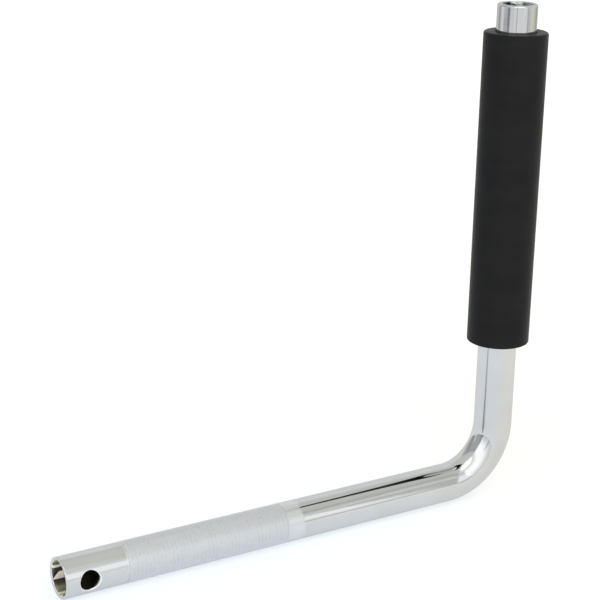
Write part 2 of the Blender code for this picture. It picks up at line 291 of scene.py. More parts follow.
class Shader(Nodes):
    """A material with one Principled shader, in the coordinates of the object that wears it."""

    def __init__(self, name, color, roughness, metallic=0.0, **constants):
        self.material = bpy.data.materials.new(name)
        self.material.use_nodes = True
        super().__init__(self.material.node_tree)
        self.shader = self.nodes["Principled BSDF"]
        self.shader.inputs["Base Color"].default_value = (*color, 1.0)
        self.shader.inputs["Roughness"].default_value = roughness
        self.shader.inputs["Metallic"].default_value = metallic
        for socket, value in constants.items():
            self.shader.inputs[socket.replace("_", " ")].default_value = value
        self.material.diffuse_color = (*color, 1.0)
        self.place = self.nodes.new("ShaderNodeTexCoord").outputs["Object"]

    def set(self, socket, value):
        """Wire an output into a socket of the Principled shader."""
        self.feed(value, self.shader.inputs[socket])

    def axis(self, name):
        """One of the object's own coordinates."""
        split = self.nodes.new("ShaderNodeSeparateXYZ")
        self.feed(self.place, split.inputs["Vector"])
        return split.outputs[name]

    def noise(self, scale, detail=3.0, rough=0.5, stretch=(1.0, 1.0, 1.0)):
        """Noise with the given number of features per metre, multiplied along each axis by the stretch."""
        mapping = self.nodes.new("ShaderNodeMapping")
        mapping.inputs["Scale"].default_value = stretch
        self.feed(self.place, mapping.inputs["Vector"])
        noise = self.nodes.new("ShaderNodeTexNoise")
        noise.inputs["Scale"].default_value = scale
        noise.inputs["Detail"].default_value = detail
        noise.inputs["Roughness"].default_value = rough
        self.feed(mapping.outputs["Vector"], noise.inputs["Vector"])
        return noise.outputs["Fac"]

    def mix(self, factor, first, second):
        """A color between two others, each an output or three numbers."""
        node = self.nodes.new("ShaderNodeMix")
        node.data_type = "RGBA"
        self.feed(factor, node.inputs["Factor"])
        for name, color in (("A", first), ("B", second)):
            self.feed((*color, 1.0) if isinstance(color, tuple) else color, node.inputs[name])
        return node.outputs["Result"]

    def mottle(self, value, low, high, first, second):
        """A color that goes from the first to the second as a value goes from low to high."""
        return self.mix(self.ramp(value, low, high, 0.0, 1.0), first, second)

    def bump(self, height, distance, strength=1.0, under=None):
        """A bump of the given depth, on top of another one if given."""
        node = self.nodes.new("ShaderNodeBump")
        node.inputs["Distance"].default_value = distance
        node.inputs["Strength"].default_value = strength
        self.feed(height, node.inputs["Height"])
        if under is not None:
            self.feed(under, node.inputs["Normal"])
        return node.outputs["Normal"]


# ---------------------------------------------------------------- materials

# How bright the reflections in each plating stay where it is seen nearly edge-on.
PLATE_EDGE = (0.84, 0.84, 0.84, 1.0)
SOCKET_EDGE = (0.64, 0.64, 0.64, 1.0)


def polished_chrome():
    """Mirror chrome plate with hairline polishing marks, and a satin band beside the knurl."""
    look = Shader("polished_chrome", (0.59, 0.595, 0.60), 0.05, 1.0, Specular_Tint=PLATE_EDGE)
    smears = look.noise(38, 4.0, 0.55)
    hairlines = look.noise(55, 4.0, 0.7, stretch=(3.0, 40.0, 40.0))
    smeared = look.ramp(smears, 0.42, 0.75, 0.035, 0.085)
    polish = look.math("ADD", smeared, look.ramp(hairlines, 0.55, 0.8, 0.0, 0.05))
    satin = satin_band(look)
    look.set("Roughness", look.math("MAXIMUM", polish, look.math("MULTIPLY", satin, 0.27)))
    look.set("Metallic", look.ramp(satin, 0.0, 1.0, 1.0, 0.84))
    mirror = look.mottle(smears, 0.3, 0.7, (0.57, 0.575, 0.58), (0.615, 0.62, 0.625))
    matt = look.mottle(smears, 0.3, 0.7, (0.60, 0.61, 0.62), (0.635, 0.645, 0.655))
    look.set("Base Color", look.mix(satin, mirror, matt))
    waves = look.bump(look.noise(140, 2.0, 0.5), 0.02 * MM, 0.25)
    lines = look.noise(90, 3.0, 0.6, stretch=(60.0, 1.0, 1.0))
    look.set("Normal", look.bump(look.math("MULTIPLY", lines, satin), 0.05 * MM, 0.6, under=waves))
    return look.material


def satin_band(look):
    """1 on the band between the knurl and the mirror plate, and 0 elsewhere, with soft ends."""
    start, end = LEVER_END_X + KNURL_END, LEVER_END_X + SATIN_END
    lever = look.axis("X")
    past_knurl = look.ramp(lever, start - 0.5 * MM, start, 0.0, 1.0)
    before_plate = look.ramp(lever, end - 1.0 * MM, end + 0.8 * MM, 1.0, 0.0)
    return look.math("MULTIPLY", past_knurl, before_plate)


def knurled_chrome():
    """Matt plating on the knurl, with the faint bands that the knurling wheel's feed leaves."""
    look = Shader("knurled_chrome", (0.58, 0.595, 0.61), 0.30, 1.0)
    grime = look.ramp(look.noise(90, 4.0, 0.6), 0.3, 0.7, 0.85, 1.0)
    turns = look.math("MULTIPLY", look.axis("X"), 2 * math.pi / KNURL_FEED)
    bands = look.ramp(look.math("SINE", turns), -1.0, 0.6, 0.0, 1.0)
    broken = look.ramp(look.noise(300, 2.0, 0.5), 0.42, 0.62, 0.0, 1.0)
    tone = look.math("MULTIPLY", grime, look.math("MAXIMUM", bands, broken))
    look.set("Base Color", look.mix(tone, (0.553, 0.565, 0.58), (0.60, 0.613, 0.63)))
    look.set("Roughness", look.ramp(look.noise(900, 2.0, 0.5), 0.3, 0.7, 0.27, 0.34))
    look.set("Normal", look.bump(look.noise(4000, 2.0, 0.5), 0.01 * MM, 0.4))
    return look.material


def turned_chrome():
    """Bright chrome on the turned drive socket, with very fine rings from the lathe under the plate."""
    look = Shader("turned_chrome", (0.58, 0.582, 0.585), 0.09, 1.0, Specular_Tint=SOCKET_EDGE)
    rings = look.noise(60, 3.0, 0.6, stretch=(0.6, 0.6, 90.0))
    drawn = look.noise(150, 3.0, 0.6, stretch=(6.0, 6.0, 0.2))
    worn = look.ramp(look.noise(120, 3.0, 0.5), 0.5, 0.8, 0.0, 0.05)
    look.set("Roughness", look.math("ADD", look.ramp(rings, 0.35, 0.7, 0.06, 0.10), worn))
    look.set("Base Color", look.mottle(drawn, 0.35, 0.65, (0.55, 0.552, 0.557), (0.605, 0.607, 0.61)))
    look.set("Normal", look.bump(rings, 0.004 * MM, 0.5))
    return look.material


def burnished_edge():
    """The rolled edges of the tommy-bar hole and the collar, rubbed bright and a little soft."""
    look = Shader("burnished_edge", (0.78, 0.785, 0.795), 0.22, 1.0)
    smears = look.noise(260, 3.0, 0.6)
    look.set("Roughness", look.ramp(smears, 0.35, 0.7, 0.20, 0.34))
    look.set("Base Color", look.mottle(smears, 0.3, 0.7, (0.70, 0.705, 0.715), (0.86, 0.865, 0.875)))
    look.set("Normal", look.bump(look.noise(700, 2.0, 0.5), 0.01 * MM, 0.3))
    return look.material


# Painted reflections inside each socket, near its mouth: the tones painted on its walls by the part of a
# turn, in place of what its mirror walls would show.
LEVER_PAINTED_REFLECTIONS = (
    (0.00, (0.22, 0.21, 0.15)),
    (0.03, (0.66, 0.61, 0.47)),
    (0.065, (0.75, 0.69, 0.54)),
    (0.09, (0.17, 0.165, 0.115)),
    (0.25, (0.20, 0.195, 0.14)),
    (0.35, (0.07, 0.06, 0.042)),
    (0.47, (0.035, 0.025, 0.02)),
    (0.60, (0.02, 0.02, 0.018)),
    (0.84, (0.06, 0.045, 0.035)),
    (0.87, (0.86, 0.79, 0.64)),
    (0.91, (0.90, 0.85, 0.76)),
    (0.94, (0.24, 0.23, 0.16)),
    (1.00, (0.15, 0.15, 0.10)),
)
DRIVE_PAINTED_REFLECTIONS = (
    (0.00, (0.14, 0.13, 0.10)),
    (0.12, (0.30, 0.31, 0.28)),
    (0.24, (0.08, 0.075, 0.06)),
    (0.31, (0.04, 0.042, 0.04)),
    (0.36, (0.012, 0.012, 0.012)),
    (0.53, (0.01, 0.01, 0.01)),
    (0.555, (0.62, 0.66, 0.65)),
    (0.60, (0.28, 0.34, 0.33)),
    (0.64, (0.52, 0.56, 0.55)),
    (0.67, (0.10, 0.13, 0.13)),
    (0.76, (0.17, 0.20, 0.195)),
    (0.83, (0.05, 0.06, 0.06)),
    (1.00, (0.14, 0.13, 0.10)),
)


# A painted reflection patch that widens with the depth: where it starts, how wide it gets, and its tones on
# each side.
Leaf = namedtuple("Leaf", "place width low high")

# How deep the painted reflections reach on each socket's walls, and where the oxide is whole.
PAINTED_REFLECTION_DEPTH = 8.0 * MM
OXIDE_DEPTH = 11.0 * MM

# Where the tables of painted reflection tones start on each turn, with whole turns added that keep the sum
# above zero.
LEVER_START = 3.75
DRIVE_START = 3.25

# The inside of a socket: a function that makes the part of a turn, the axis and the rim's place on it, the
# way in, the depth of the lip with its painted rim highlight, the painted reflection tones, the painted
# reflection leaf, and how the streaks are stretched.
Mouth = namedtuple("Mouth", "turning axis rim way_in lip tones leaf streaks")


def broached_steel(name, mouth):
    """Broached steel under a brown oxide; near the mouth of its socket, painted reflections and a painted rim
    highlight take the oxide's place.
    """
    look = Shader(name, (0.60, 0.575, 0.50), 0.09, 1.0)
    streaks = look.noise(40, 4.0, 0.65, stretch=mouth.streaks)
    stain = look.noise(180, 4.0, 0.6)
    around = mouth.turning(look)
    depth = look.math("MULTIPLY", look.math("SUBTRACT", look.axis(mouth.axis), mouth.rim), mouth.way_in)
    wander = look.ramp(stain, 0.3, 0.7, -0.012, 0.012)
    # Painted reflections: the walls' tones by the part of a turn, with the painted reflection patch over
    # them.
    painted_wall_tones = look.tones(look.math("ADD", around, wander), mouth.tones)
    painted_wall_tones = add_leaf(look, painted_wall_tones, around, depth, mouth.leaf)
    # A painted highlight: a bright ring painted just inside the rim, within the lip's depth.
    lip = look.ramp(depth, 0.6 * mouth.lip, mouth.lip, 1.0, 0.0)
    painted_rim_highlight = look.mix(stain, (0.50, 0.52, 0.50), (0.66, 0.67, 0.65))
    painted_wall_tones = look.mix(lip, painted_wall_tones, painted_rim_highlight)
    oxide = look.mottle(stain, 0.35, 0.7, (0.09, 0.08, 0.06), (0.22, 0.20, 0.155))
    # The zone near the mouth, with a ragged edge, where painted reflections and the painted rim highlight
    # replace the oxide; it is nearly non-metallic so that they show as painted colour.
    ragged = look.math("ADD", depth, look.math("MULTIPLY", stain, 1.5 * MM))
    rub_marks_and_painted_reflection = look.ramp(ragged, PAINTED_REFLECTION_DEPTH, OXIDE_DEPTH, 1.0, 0.0)
    look.set("Base Color", look.mix(rub_marks_and_painted_reflection, oxide, painted_wall_tones))
    look.set("Roughness", look.ramp(streaks, 0.3, 0.7, 0.10, 0.22))
    look.set("Metallic", look.ramp(rub_marks_and_painted_reflection, 0.0, 1.0, 0.88, 0.05))
    look.set("Normal", look.bump(streaks, 0.03 * MM, 0.5))
    return look.material


def add_leaf(look, painted_wall_tones, around, depth, leaf):
    """The painted wall tones with the leaf, a painted reflection patch, over them."""
    grown = look.ramp(depth, 0.0, 4.5 * MM, 0.0, leaf.width)
    within = look.ramp(look.math("SUBTRACT", around, grown), leaf.place - 0.03, leaf.place, 1.0, 0.0)
    past_start = look.ramp(around, leaf.place - 0.012, leaf.place + 0.012, 0.0, 1.0)
    tone = look.mottle(around, leaf.place + 0.03, leaf.place + 0.12, leaf.low, leaf.high)
    return look.mix(look.math("MULTIPLY", past_start, within), painted_wall_tones, tone)


def lever_third(look):
    """The part of a third of a turn about the lever's axis, so that alternate corners look alike."""
    turn = look.math("ARCTAN2", look.math("SUBTRACT", look.axis("Z"), AXIS_Z), look.axis("Y"))
    return look.math("FRACT", look.math("ADD", look.math("DIVIDE", turn, 2 * math.pi / 3), LEVER_START))


def drive_turn(look):
    """The part of a turn about the upright's axis, from the right-hand side of the lever."""
    turn = look.math("ARCTAN2", look.axis("Y"), look.math("SUBTRACT", UPRIGHT_X, look.axis("X")))
    return look.math("FRACT", look.math("ADD", look.math("DIVIDE", turn, 2 * math.pi), DRIVE_START))


# The leaves are painted reflections: a cream one, a painted highlight, in the lever's socket, and a black one
# in the drive's.
LEVER_LEAF = Leaf(0.50, 0.22, (0.86, 0.77, 0.79), (0.97, 0.90, 0.70))
DRIVE_LEAF = Leaf(0.54, 0.14, (0.01, 0.01, 0.01), (0.01, 0.01, 0.01))
LEVER_MOUTH = Mouth(
    lever_third, "X", LEVER_END_X, 1.0, 0.75 * MM, LEVER_PAINTED_REFLECTIONS, LEVER_LEAF, (2.0, 30.0, 30.0)
)
DRIVE_MOUTH = Mouth(
    drive_turn, "Z", RIM_Z, -1.0, 0.35 * MM, DRIVE_PAINTED_REFLECTIONS, DRIVE_LEAF, (30.0, 30.0, 2.0)
)


def black_sleeve():
    """Satin black moulded plastic with a fine eroded grain, faint rub marks and a weak gloss."""
    look = Shader("black_sleeve", (0.0115, 0.0115, 0.012), 0.40, Specular_IOR_Level=0.05)
    grain = look.noise(3600, 2.0, 0.55)
    rubs = look.noise(30, 5.0, 0.6, stretch=(1.0, 1.0, 2.2))
    rub_marks_and_painted_reflection = look.ramp(rubs, 0.35, 0.7, 0.36, 0.44)
    look.set("Roughness", look.math("ADD", rub_marks_and_painted_reflection, look.ramp(grain, 0.4, 0.7, 0.0, 0.03)))
    look.set("Base Color", look.mottle(rubs, 0.4, 0.75, (0.0105, 0.0105, 0.011), (0.014, 0.014, 0.0145)))
    look.set("Normal", look.bump(grain, 0.02 * MM, 0.35))
    return look.material


def plain_metal(name, dark, light, roughness):
    """A machined inner part: two close tones, and a roughness that drifts between the two given values."""
    look = Shader(name, light, roughness[0], 1.0)
    rings = look.noise(80, 3.0, 0.6, stretch=(1.0, 1.0, 40.0))
    look.set("Base Color", look.mottle(look.noise(220, 4.0, 0.6), 0.35, 0.7, dark, light))
    look.set("Roughness", look.ramp(rings, 0.35, 0.7, *roughness))
    look.set("Normal", look.bump(rings, 0.02 * MM, 0.4))
    return look.material


def moulded_core():
    """Matt moulded plastic of the grip's core."""
    look = Shader("moulded_core", (0.30, 0.31, 0.32), 0.5)
    tone = look.noise(120, 4.0, 0.6)
    look.set("Base Color", look.mottle(tone, 0.35, 0.7, (0.26, 0.27, 0.28), (0.33, 0.34, 0.35)))
    look.set("Roughness", look.ramp(tone, 0.3, 0.7, 0.42, 0.58))
    look.set("Normal", look.bump(look.noise(2500, 2.0, 0.5), 0.03 * MM, 0.4))
    return look.material


# ---------------------------------------------------------------- lever and tube


def lever_ring(radius, inset):
    """A ring about the lever's axis. The radius and the inset are numbers, or functions of the angle."""
    points = []
    for a in angles():
        r = value_at(radius, a)
        x = LEVER_END_X + value_at(inset, a)
        points.append(Vector((x, -r * math.cos(a), AXIS_Z + r * math.sin(a))))
    return points


def bend_ring(radius, turn):
    """A ring about the centre line where the bend has turned this far from the lever."""
    inward = Vector((-math.sin(turn), 0, math.cos(turn)))
    along = UPRIGHT_X - BEND_R + BEND_R * math.sin(turn)
    centre = Vector((along, 0, AXIS_Z + BEND_R - BEND_R * math.cos(turn)))
    return [centre + radius * (Vector((0, -math.cos(a), 0)) + inward * math.sin(a)) for a in angles()]


def upright_ring(radius, height):
    """A ring about the upright leg's axis, with the same order of points as the lever's rings."""
    return [Vector((UPRIGHT_X - radius * math.sin(a), -radius * math.cos(a), height)) for a in angles()]


def bend_turns():
    """The turns of the bend's rings between its two ends."""
    return [math.pi / 2 * i / BEND_STEPS for i in range(BEND_STEPS + 1)]


def socket_rings(make_ring, across_flats, depth):
    """Rings from a socket's rim, down its countersink and its hexagon, to the hexagon's floor."""
    mouth = mouth_radius(across_flats)
    soft = 0.08 * MM

    def wall(a):
        return hex_radius(a, across_flats, HEX_CORNER_ROUND)

    def foot(a, past):
        """The inset where the countersink meets the wall, or this much past it."""
        return mouth - wall(a) + past

    rings = [make_ring(mouth + RIM_ROUND, 0.0)]
    rings.append(make_ring(mouth + RIM_ROUND * 0.3, RIM_ROUND * 0.3))
    rings.append(make_ring(mouth - RIM_ROUND * 0.3, RIM_ROUND * 0.9))
    rings.append(make_ring(lambda a: wall(a) + soft, lambda a: foot(a, -soft)))
    rings.append(make_ring(lambda a: wall(a) + soft * 0.15, lambda a: foot(a, soft * 0.15)))
    rings.append(make_ring(wall, lambda a: foot(a, soft)))
    rings += [make_ring(wall, inset * MM) for inset in HEX_RINGS]
    rings.append(make_ring(wall, depth))
    return rings


def lever_outside():
    """Radii and insets of the lever's outer skin, from its rounded rim to the bend."""
    rim = LEVER_RIM_ROUND
    turns = (0, 0.4, 0.8, 1.2, math.pi / 2)
    points = [(TUBE_R - rim + rim * math.sin(t), rim - rim * math.cos(t)) for t in turns]
    points += [(TUBE_R, inset * MM) for inset in LEVER_RINGS]
    bed = TUBE_R - KNURL_BED
    lip = 0.22 * MM
    collar_r = TUBE_R - 0.04 * MM
    collar_start = POLISHED_END - COLLAR
    points += [(TUBE_R, collar_start), (collar_r, collar_start + 0.06 * MM)]
    points += [(collar_r, POLISHED_END - lip), (TUBE_R - lip, POLISHED_END), (bed, POLISHED_END)]
    points += [(bed, KNURL_END), (TUBE_R - 0.15 * lip, KNURL_END), (TUBE_R, KNURL_END + 0.3 * lip)]
    points.append((TUBE_R, SATIN_END))
    return points


def groove_heights(low, high):
    """Radii and heights of a circlip groove in the leg's skin, around a clip with this span."""
    low -= GROOVE_SIDE_GAP
    high += GROOVE_SIDE_GAP
    return [(TUBE_R, low), (GROOVE_R, low), (GROOVE_R, high), (TUBE_R, high)]


def tube_shape():
    """The bent tube as one skin: along the lever, up the leg, and back through the bore and the hexagon."""
    below_pin = PIN_Z - RING_UNDER_PIN * MM
    rings = [lever_ring(radius, inset) for radius, inset in lever_outside()]
    rings += [bend_ring(TUBE_R, turn) for turn in bend_turns()]
    rings += [upright_ring(TUBE_R, z * MM) for z in UPRIGHT_RINGS]
    rings += [upright_ring(r, z) for r, z in groove_heights(CLIP_LOW.z, CLIP_HIGH.z)]
    rings += [upright_ring(TUBE_R, below_pin), upright_ring(TUBE_R, TUBE_TOP_Z)]
    rings += [upright_ring(BORE_R, TUBE_TOP_Z), upright_ring(BORE_R, below_pin)]
    rings += [bend_ring(BORE_R, turn) for turn in reversed(bend_turns())]
    rings.append(lever_ring(BORE_R, LEVER_HEX_DEPTH + 1.5 * MM))
    rings.append(lever_ring(BORE_R, LEVER_HEX_DEPTH))
    rings += reversed(socket_rings(lever_ring, LEVER_HEX_AF, LEVER_HEX_DEPTH))
    return ring_mesh("wrench_tube_skin", rings, loop=True)


def tommy_hole_cutter():
    """A bar along Y whose ends flare where they leave the tube, so that the hole gets a rolled edge."""
    around = angles(TOMMY_HOLE_AROUND)
    rings = []
    for side in (-1, 1):
        half = []
        for turned in (0, 12, 25, 38, 50, 60):
            t = math.radians(turned)
            flare = CROSS_HOLE_EDGE * (1 - math.cos(t))
            sink = CROSS_HOLE_EDGE * (1 - math.sin(t))
            half.append([hole_point(a, CROSS_HOLE_R + flare, -sink, side) for a in around])
        clear_r = CROSS_HOLE_R + CROSS_HOLE_EDGE * 2.2
        half.append([hole_point(a, clear_r, CROSS_HOLE_EDGE * 0.9, side) for a in around])
        half.append([Vector((point.x, side * CUTTER_REACH, point.z)) for point in half[-1]])
        rings += reversed(half) if side < 0 else half
    return mesh_object("tommy_hole", ring_mesh("tommy_hole", rings, loop=False))


def hole_point(angle, radius, above, side):
    """A point around the tommy-bar hole, at a height above the tube's outer skin."""
    along = radius * math.cos(angle)
    up = radius * math.sin(angle)
    skin = math.sqrt(TUBE_R**2 - min(abs(up), TUBE_R * 0.95) ** 2)
    return Vector((LEVER_END_X + CROSS_HOLE_INSET + along, side * (skin + above), AXIS_Z + up))


def cut_through(obj, cutters):
    """Take closed cutters away from the object, bake the result into its mesh and remove the cutters."""
    for cutter in cutters:
        modifier = obj.modifiers.new(cutter.name, "BOOLEAN")
        modifier.operation = "DIFFERENCE"
        modifier.solver = "EXACT"
        modifier.object = cutter
    evaluated = obj.evaluated_get(bpy.context.evaluated_depsgraph_get())
    mesh = bpy.data.meshes.new_from_object(evaluated)
    obj.modifiers.clear()
    obj.data = mesh
    for cutter in cutters:
        bpy.data.objects.remove(cutter, do_unlink=True)


def pin_cutter():
    """The straight hole for the spring pin, hidden by the grip."""
    radius = PIN_R + PIN_GAP
    rings = []
    for y in (-CUTTER_REACH, CUTTER_REACH):
        circle = [(radius * math.cos(a), radius * math.sin(a)) for a in angles(PIN_HOLE_AROUND)]
        rings.append([Vector((UPRIGHT_X + x, y, PIN_Z + z)) for x, z in circle])
    return mesh_object("pin_cutter", ring_mesh("pin_cutter", rings, loop=False))


def centre_line_direction(point):
    """The unit vector from the tube's centre line straight out to a point, and its distance."""
    corner = Vector((UPRIGHT_X - BEND_R, 0, AXIS_Z + BEND_R))
    if point.x <= corner.x:
        out = Vector((0, point.y, point.z - AXIS_Z))
    elif point.z >= corner.z:
        out = Vector((point.x - UPRIGHT_X, point.y, 0))
    else:
        arm = Vector((point.x - corner.x, 0, point.z - corner.z)).normalized()
        out = point - corner - arm * BEND_R
    return out.normalized(), out.length


def true_round_normals(mesh):
    """Give the skin the exact normals of the round tube, where the cut's uneven faces would dent it."""
    normals = [Vector(corner.vector) for corner in mesh.corner_normals]
    for polygon in mesh.polygons:
        corners = [centre_line_direction(mesh.vertices[v].co) for v in polygon.vertices]
        on_skin = all(abs(distance - TUBE_R) < SKIN_MARGIN for _, distance in corners)
        if on_skin and polygon.normal.dot(corners[0][0]) > 0.9:
            for loop, (out, _) in zip(polygon.loop_indices, corners):
                normals[loop] = out
    mesh.normals_split_custom_set(normals)


def mark_inside(mesh, across_flats):
    """Use the second material on everything inside the socket's rim."""
    limit = min(mouth_radius(across_flats) - SKIN_MARGIN, TUBE_R - CROSS_HOLE_EDGE)
    for polygon in mesh.polygons:
        _, distance = centre_line_direction(polygon.center)
        polygon.material_index = 1 if distance < limit else 0


def mark_rolled_edges(mesh):
    """Use the third material on the rolled edges of the tommy-bar hole, and on top of the collar."""
    for polygon in mesh.polygons:
        place = polygon.center
        out, distance = centre_line_direction(place)
        near_skin = distance > TUBE_R - CROSS_HOLE_EDGE - 0.05 * MM
        off_hole = math.hypot(place.x - LEVER_END_X - CROSS_HOLE_INSET, place.z - AXIS_Z)
        by_hole = off_hole < CROSS_HOLE_R + 1.2 * CROSS_HOLE_EDGE
        on_edge = by_hole and polygon.normal.dot(out) < 0.985
        in_collar = 0 < LEVER_END_X + POLISHED_END - place.x < COLLAR
        if near_skin and (on_edge or (in_collar and place.z > AXIS_Z - 2 * MM)):
            polygon.material_index = 2


def build_tube(chrome, bore, edge):
    """The bent tube with its broached socket, rolled tommy-bar hole and polished skin."""
    tube = mesh_object("bent_tube", tube_shape())
    cut_through(tube, [tommy_hole_cutter(), pin_cutter()])
    for material in (chrome, bore, edge):
        tube.data.materials.append(material)
    tube.data.shade_smooth()
    tube.data.set_sharp_from_angle(angle=SHARP)
    mark_inside(tube.data, LEVER_HEX_AF)
    mark_rolled_edges(tube.data)
    true_round_normals(tube.data)
    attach(tube, "wrench")
    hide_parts("wrench_tube")


def knurl_point(column, row, depth):
    """A point of the knurl's lattice, at a depth below the crests."""
    angle = math.pi * column / KNURL_COLUMNS
    radius = TUBE_R - depth
    x = LEVER_END_X + POLISHED_END + (KNURL_END - POLISHED_END) * row / KNURL_ROWS
    return Vector((x, -radius * math.cos(angle), AXIS_Z + radius * math.sin(angle)))


def build_knurl(material):
    """The fine diamond knurl: rows of flat-topped pyramids around the lever, in its shallow bed."""
    shape = bmesh.new()
    valley = {}
    for row in range(KNURL_ROWS + 1):
        for column in range(KNURL_AROUND):
            if (row + column) % 2 or row in (0, KNURL_ROWS):
                valley[column, row] = shape.verts.new(knurl_point(column, row, KNURL_DEPTH))
    for row in range(1, KNURL_ROWS):
        for column in range(row % 2, KNURL_AROUND, 2):
            add_pyramid(shape, valley, column, row)
    close_knurl_ends(shape, valley)
    close_knurl_ring(shape, valley)
    mesh = finished_mesh("knurl", shape, KNURL_SHARP)
    mesh.materials.append(material)
    knurl = mesh_object("lever_knurl", mesh)
    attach(knurl, "wrench")


def add_pyramid(shape, valley, column, row):
    """One flat-topped pyramid over the diamond whose centre is at this column and row."""
    steps = ((-1, 0), (0, 1), (1, 0), (0, -1))
    foot = [valley[(column + dc) % KNURL_AROUND, row + dr] for dc, dr in steps]
    along = (KNURL_END - POLISHED_END) * row / KNURL_ROWS
    flat = KNURL_FLAT + KNURL_FEED_SWING * math.cos(2 * math.pi * along / KNURL_FEED)
    top = [shape.verts.new(knurl_point(column + flat * dc, row + flat * dr, 0.0)) for dc, dr in steps]
    for i in range(4):
        j = (i + 1) % 4
        shape.faces.new((foot[i], foot[j], top[j], top[i]))
    shape.faces.new(top)


def close_knurl_ends(shape, valley):
    """The triangles that fill the knurl's first and last rows."""
    for row, inner_row in ((0, 1), (KNURL_ROWS, KNURL_ROWS - 1)):
        for column in range(row % 2, KNURL_AROUND, 2):
            left = valley[(column - 1) % KNURL_AROUND, row]
            right = valley[(column + 1) % KNURL_AROUND, row]
            shape.faces.new((left, valley[column, row], valley[column, inner_row]))
            shape.faces.new((valley[column, row], right, valley[column, inner_row]))


def close_knurl_ring(shape, valley):
    """The knurl's inner face and its two end faces, so that it is one closed ring."""
    inner = {}
    for row in (0, KNURL_ROWS):
        for column in range(KNURL_AROUND):
            inner[column, row] = shape.verts.new(knurl_point(column, row, KNURL_BED - SKIN_MARGIN))
    for column in range(KNURL_AROUND):
        after = (column + 1) % KNURL_AROUND
        for row in (0, KNURL_ROWS):
            shape.faces.new((valley[column, row], valley[after, row], inner[after, row], inner[column, row]))
        first, last = 0, KNURL_ROWS
        shape.faces.new((inner[column, first], inner[after, first], inner[after, last], inner[column, last]))


# ---------------------------------------------------------------- drive socket


def drive_ring(radius, inset):
    """A ring about the upright axis at a depth below the rim, with hexagon corners along Y."""
    points = []
    for a in angles():
        r = value_at(radius, a)
        points.append(Vector((UPRIGHT_X + r * math.cos(a), r * math.sin(a), RIM_Z - value_at(inset, a))))
    return points


def socket_outside():
    """Radii and depths of the drive socket's skin, from the spigot's foot up to its rim."""
    foot = RIM_Z - SPIGOT_FOOT_Z
    shoulder = RIM_Z - TUBE_TOP_Z - SHOULDER_GAP
    bevel, soft_shoulder = 0.5 * MM, 0.1 * MM
    points = [(SPIGOT_R - bevel, foot), (SPIGOT_R, foot - bevel), (SPIGOT_R, shoulder)]
    points += [(TUBE_R - soft_shoulder, shoulder), (TUBE_R, shoulder - soft_shoulder)]
    low = RIM_Z - UPPER_CLIP_LOW.z + GROOVE_SIDE_GAP
    high = RIM_Z - UPPER_CLIP_HIGH.z - GROOVE_SIDE_GAP
    points += [(TUBE_R, low), (GROOVE_R, low), (GROOVE_R, high), (TUBE_R, high)]
    points += [(TUBE_R, depth * MM) for depth in DRIVE_RINGS]
    chamfer, soft = DRIVE_RIM_CHAMFER, RIM_ROUND
    points += [(TUBE_R, chamfer + soft), (TUBE_R - 0.35 * soft, chamfer), (TUBE_R - soft, chamfer - soft)]
    inner = TUBE_R - chamfer
    points += [(inner + soft, soft), (inner, 0.3 * soft), (inner - soft, 0.0)]
    return points


def build_drive_socket(chrome, bore):
    """The turned socket over the grip, with its hexagon, drilled floor and hidden spigot."""
    rings = [drive_ring(radius, depth) for radius, depth in socket_outside()]
    rings += socket_rings(drive_ring, DRIVE_HEX_AF, DRIVE_HEX_DEPTH)
    rings += [drive_ring(PILOT_R, DRIVE_HEX_DEPTH), drive_ring(PILOT_R, PILOT_DEPTH)]
    rings += [drive_ring(PILOT_R * 0.5, PILOT_DEPTH + DRILL_POINT * 0.5)]
    rings += [drive_ring(PILOT_R * 0.02, PILOT_DEPTH + DRILL_POINT * 0.98)]
    socket = mesh_object("turned_socket", ring_mesh("turned_socket", rings, loop=False))
    cut_through(socket, [pin_cutter()])
    for material in (chrome, bore):
        socket.data.materials.append(material)
    mark_inside(socket.data, DRIVE_HEX_AF)
    socket.data.shade_smooth()
    socket.data.set_sharp_from_angle(angle=SHARP)
    true_round_normals(socket.data)
    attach(socket, "wrench")
    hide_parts("drive_socket")


# ---------------------------------------------------------------- grip


def build_sleeve(material):
    """The black sleeve: rounded top edge, crisper foot, and a lip at each end around the leg."""
    inner = GRIP_R - GRIP_WALL
    lip_foot, lip_top = GRIP_FOOT_Z + GRIP_LIP, GRIP_TOP_Z - GRIP_LIP
    corners = [
        (LIP_HOLE_R, GRIP_TOP_Z, 0.35 * MM),
        (GRIP_R, GRIP_TOP_Z, 1.6 * MM),
        (GRIP_R, GRIP_FOOT_Z, 0.8 * MM),
        (LIP_HOLE_R, GRIP_FOOT_Z, 0.3 * MM),
        (LIP_HOLE_R, lip_foot, 0.1 * MM),
        (inner, lip_foot, 0.3 * MM),
        (inner, lip_top, 0.3 * MM),
        (LIP_HOLE_R, lip_top, 0.1 * MM),
    ]
    profile = round_corners([(r, z) for r, z, _ in corners], [radius for _, _, radius in corners], steps=6)
    rings = lathe_rings(profile, (UPRIGHT_X, 0.0))
    sleeve = mesh_object("spinning_sleeve", ring_mesh("spinning_sleeve", rings, loop=True))
    sleeve.data.materials.append(material)
    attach(sleeve, "grip")
    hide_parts("grip_sleeve")


def dress_inner_parts():
    """Better materials for the CAD nodes inside the grip, whose shapes stay."""
    bronze = plain_metal("bush_bronze", (0.45, 0.28, 0.12), (0.62, 0.42, 0.20), (0.24, 0.40))
    steel = plain_metal("dark_spring_steel", (0.07, 0.07, 0.075), (0.16, 0.16, 0.165), (0.28, 0.45))
    looks = {
        "grip_core": moulded_core(),
        "upper_bush": bronze,
        "lower_bush": bronze,
        "upper_thrust_washer": steel,
        "lower_thrust_washer": steel,
        "upper_circlip": steel,
        "lower_circlip": steel,
        "socket_cross_pin": steel,
    }
    for node, material in looks.items():
        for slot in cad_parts[node].material_slots:
            slot.material = material


